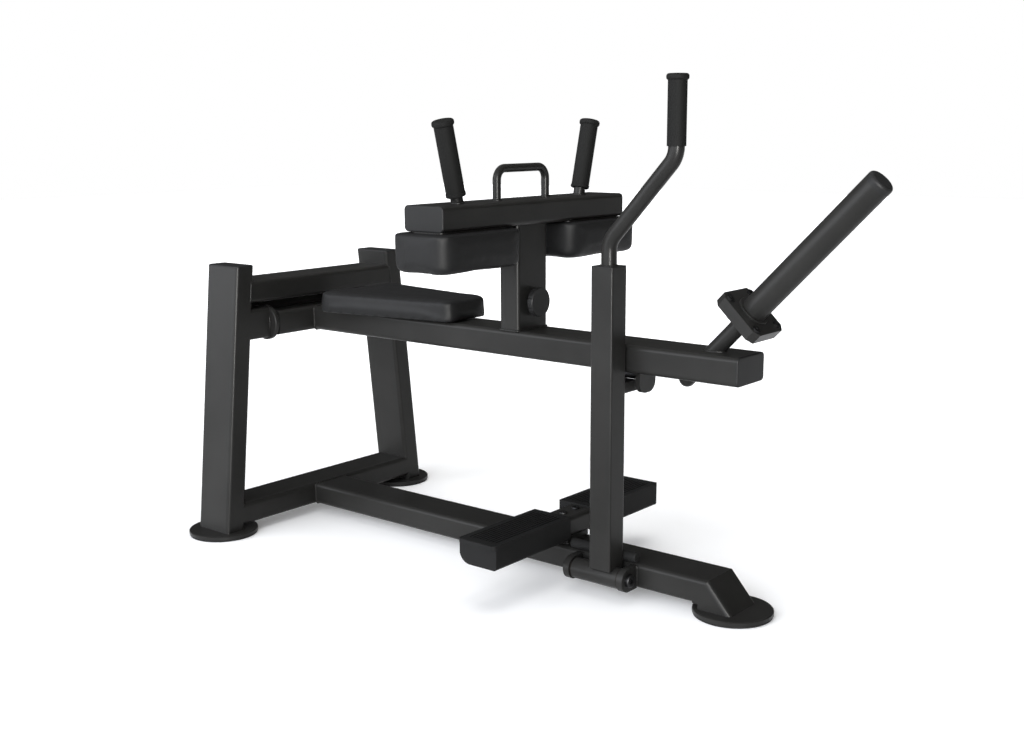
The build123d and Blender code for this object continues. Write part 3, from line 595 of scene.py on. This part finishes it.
welt_radius = 0.0009
welt_sink = 0.0003
welt_margin = 0.003
welt_points = 26


def welt_down(name, cushion_name, body, x, y):
    """A welt down the side of a pad that is nearest to an upright line at x, y."""
    cushion = bpy.data.objects[cushion_name]
    cover = cushion.evaluated_get(bpy.context.evaluated_depsgraph_get())
    heights = [corner[2] for corner in cover.bound_box]
    low_z, high_z = min(heights) + welt_margin, max(heights) - welt_margin
    points = []
    for i in range(welt_points):
        z = low_z + (high_z - low_z) * i / (welt_points - 1)
        _, point, facing, _ = cover.closest_point_on_mesh(Vector((x, y, z)))
        points.append(point - facing * welt_sink)
    welt = tube_from_line(name, points, welt_radius, pad_vinyl)
    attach(welt, body)


clear_of_pad = 0.020
seat_welt_y, thigh_welt_inset = 0.044, 0.046
seat_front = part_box("seat_pad")[1][0]
welt_down("seat_welt", "seat_cushion", "lever", seat_front + clear_of_pad, seat_welt_y)
for side, outward in (("right", -1), ("left", 1)):
    low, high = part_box("thigh_pad_" + side)
    outer = low[1] if outward < 0 else high[1]
    welt_down("thigh_welt_" + side, "thigh_cushion_" + side, "pad_carriage",
              low[0] + thigh_welt_inset, outer + outward * clear_of_pad)
print("welts sewn")

# %% [markdown]
# ## Weld beads
# Where two tubes meet, the maker runs a bead of weld all the way round before painting.
# A bead is a thin tube laid along the joint whose thickness ripples like a row of
# overlapping coins.  It is painted with everything else, so only its shape shows.

# %% Lines that beads follow
bead_step = 0.0018
bead_radius = 0.0026
ripple = (1.0, 0.86, 0.78, 0.86)


def evenly(path, closed=True):
    """Points one bead step apart along a line of corners."""
    corners = [Vector(p) for p in path]
    legs = list(zip(corners, corners[1:] + corners[:1] if closed else corners[1:]))
    line = []
    for start, end in legs:
        count = max(1, round((end - start).length / bead_step))
        line += [start.lerp(end, i / count) for i in range(count)]
    return line


def rounded_loop(centre, across, up, width, height, corner):
    """A rectangle with round corners, in the plane of two directions."""
    centre, across, up = Vector(centre), Vector(across).normalized(), Vector(up).normalized()
    path = []
    for quarter, (sx, sy) in enumerate(((1, 1), (-1, 1), (-1, -1), (1, -1))):
        middle = Vector((sx * (width / 2 - corner), sy * (height / 2 - corner)))
        for part in range(7):
            turn = math.radians(90 * quarter + 15 * part)
            path.append(centre + across * (middle.x + corner * math.cos(turn))
                        + up * (middle.y + corner * math.sin(turn)))
    return evenly(path)


def round_loop(centre, axis, radius, stretch=1.0, long_way=(1, 0, 0)):
    """A circle round an axis, or an ellipse stretched along long_way."""
    centre, axis = Vector(centre), Vector(axis).normalized()
    long_way = Vector(long_way)
    first = (long_way - axis * long_way.dot(axis)).normalized()
    second = axis.cross(first)
    path = [centre + first * radius * stretch * math.cos(math.tau * i / 48)
            + second * radius * math.sin(math.tau * i / 48) for i in range(48)]
    return evenly(path)


print("bead lines ready")

# %% Beads on the frame
across_x, across_y, up_z = (1, 0, 0), (0, 1, 0), (0, 0, 1)
tube, tube_low, corner = 0.100, 0.050, 0.009
collar_out, collar_radius = 0.0012, 0.0355
lug_height, lug_corner, plate_corner = 0.040, 0.003, 0.004
crossbar_inset = 0.0028


def middle(node_name):
    low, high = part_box(node_name)
    return (Vector(low) + Vector(high)) / 2


rear_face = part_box("rear_foot_beam")[1][0]
foot_z = middle("rear_foot_beam").z
beads = {"frame": [], "lever": [], "pad_carriage": [], "release_lever": []}
beads["frame"].append(rounded_loop((rear_face, 0, foot_z), across_y, up_z,
                                   tube, tube_low, corner))
for node_name in ("pivot_stub_right", "pivot_stub_left"):
    low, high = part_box(node_name)
    outer = 1 if high[1] > 0 else -1
    collar = low[1] if outer > 0 else high[1]
    centre = Vector(((low[0] + high[0]) / 2, collar + outer * collar_out, (low[2] + high[2]) / 2))
    beads["frame"].append(round_loop(centre, across_y, collar_radius))
for node_name in ("release_lug_front", "release_lug_rear"):
    low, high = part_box(node_name)
    beam_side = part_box("base_beam")[0][1]
    beads["frame"].append(rounded_loop(((low[0] + high[0]) / 2, beam_side, foot_z),
                                       across_x, up_z, high[0] - low[0], lug_height, lug_corner))
low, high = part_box("footbar_saddle")
beads["frame"].append(rounded_loop(((low[0] + high[0]) / 2, 0, low[2]), across_x, across_y,
                                   high[0] - low[0], high[1] - low[1], plate_corner))
splay = math.atan2(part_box("leg_left")[1][1] - tube_low
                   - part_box("leg_left")[0][1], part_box("leg_left")[1][2])
lean = Vector((0, -math.sin(splay), math.cos(splay)))
low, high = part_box("top_crossbar")
for side in (-1, 1):
    centre = Vector(((low[0] + high[0]) / 2, side * (high[1] - crossbar_inset),
                     (low[2] + high[2]) / 2))
    beads["frame"].append(rounded_loop(centre, across_x, (0, side * lean.y, lean.z),
                                       high[0] - low[0], high[2] - low[2], corner))
print("frame beads:", len(beads["frame"]))

# %% Beads on the lever
sleeve_corner = 0.006
catch_plate, catch_width, catch_corner = 0.010, 0.056, 0.002
low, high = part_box("post_sleeve")
sleeve_centre = Vector(((low[0] + high[0]) / 2, 0, low[2]))
beads["lever"].append(rounded_loop(sleeve_centre, across_x, across_y,
                                   high[0] - low[0], high[1] - low[1], sleeve_corner))
low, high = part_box("pivot_hub")
beads["lever"].append(rounded_loop((high[0], 0, (low[2] + high[2]) / 2), across_y, up_z,
                                   tube, high[2] - low[2], corner))
low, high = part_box("catch_lugs")
beam_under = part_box("lever_beam")[0][2]
for x in (low[0] + catch_plate / 2, high[0] - catch_plate / 2):
    beads["lever"].append(rounded_loop((x, 0, beam_under), across_x, across_y,
                                       catch_plate, catch_width, catch_corner))
rise = math.radians(46)
horn_rod_radius = 0.016
horn_way = Vector((math.cos(rise), 0, math.sin(rise)))
beam_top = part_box("lever_beam")[1][2]
horn_mid = middle("horn_sleeve")
for z in (beam_top, beam_under):
    centre = horn_mid + horn_way * ((z - horn_mid.z) / horn_way.z)
    beads["lever"].append(round_loop(centre, up_z, horn_rod_radius, 1.0 / math.sin(rise)))
print("lever beads:", len(beads["lever"]))

# %% Beads on the pad carriage and the release lever
low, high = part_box("pad_crossbar")
post_low, post_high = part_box("carriage_post")
beads["pad_carriage"].append(rounded_loop(
    ((post_low[0] + post_high[0]) / 2, 0, low[2]), across_x, across_y,
    post_high[0] - post_low[0], post_high[1] - post_low[1], sleeve_corner))
handle_x = middle("handle_bars").x
handle_splay = math.radians(14.2)
handle_foot_y, handle_radius = 0.1985, 0.0125
loop_leg_y, loop_radius = 0.079, 0.0085
release_tube_radius = 0.015
saddle_out, saddle_inset, bead_lift = 0.0195, 0.004, 0.0005
for side in (-1, 1):
    beads["pad_carriage"].append(round_loop(
        (handle_x, side * handle_foot_y, high[2]), up_z, handle_radius,
        1.0 / math.cos(handle_splay), across_y))
loop_x = middle("lift_handle").x
for side in (-1, 1):
    beads["pad_carriage"].append(round_loop((loop_x, side * loop_leg_y, high[2]),
                                            up_z, loop_radius))
low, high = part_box("release_post")
post_mid = middle("release_post")
low_arm, high_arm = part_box("catch_arm")
beads["release_lever"].append(rounded_loop(
    ((low_arm[0] + high_arm[0]) / 2, low_arm[1], (low_arm[2] + high_arm[2]) / 2), across_x, up_z,
    high_arm[0] - low_arm[0], high_arm[2] - low_arm[2], catch_corner))
for side in (-1, 1):
    edge = [(x, post_mid.y + side * saddle_out, low[2] + bead_lift)
            for x in (low[0] + saddle_inset, high[0] - saddle_inset)]
    beads["release_lever"].append(evenly(edge, closed=False))
cap_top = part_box("release_post_cap")[1][2]
beads["release_lever"].append(round_loop((post_mid.x, post_mid.y, cap_top),
                                         up_z, release_tube_radius))
print("carriage and release beads:", len(beads["pad_carriage"]), len(beads["release_lever"]))

# %% Lay the beads
closed_gap = 0.004
for body, lines in beads.items():
    laid = bmesh.new()
    for line in lines:
        one = tube_from_line("bead", line, bead_radius, powder_coat,
                             closed=(line[0] - line[-1]).length < closed_gap,
                             ripple=ripple)
        laid.from_mesh(one.data)
        bpy.data.objects.remove(one)
    mesh = bpy.data.meshes.new("weld_beads_" + body)
    bmesh.ops.recalc_face_normals(laid, faces=laid.faces)
    laid.to_mesh(mesh)
    laid.free()
    mesh.materials.append(powder_coat)
    for face in mesh.polygons:
        face.use_smooth = True
    piece = bpy.data.objects.new("weld_beads_" + body, mesh)
    scene.collection.objects.link(piece)
    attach(piece, body)
    print("beads on", body, len(mesh.polygons), "faces")

# %% [markdown]
# ## Last measure
# The dressed machine should keep to the size of its CAD solids, so its box is measured.

# %% Measure and finish
low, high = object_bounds()
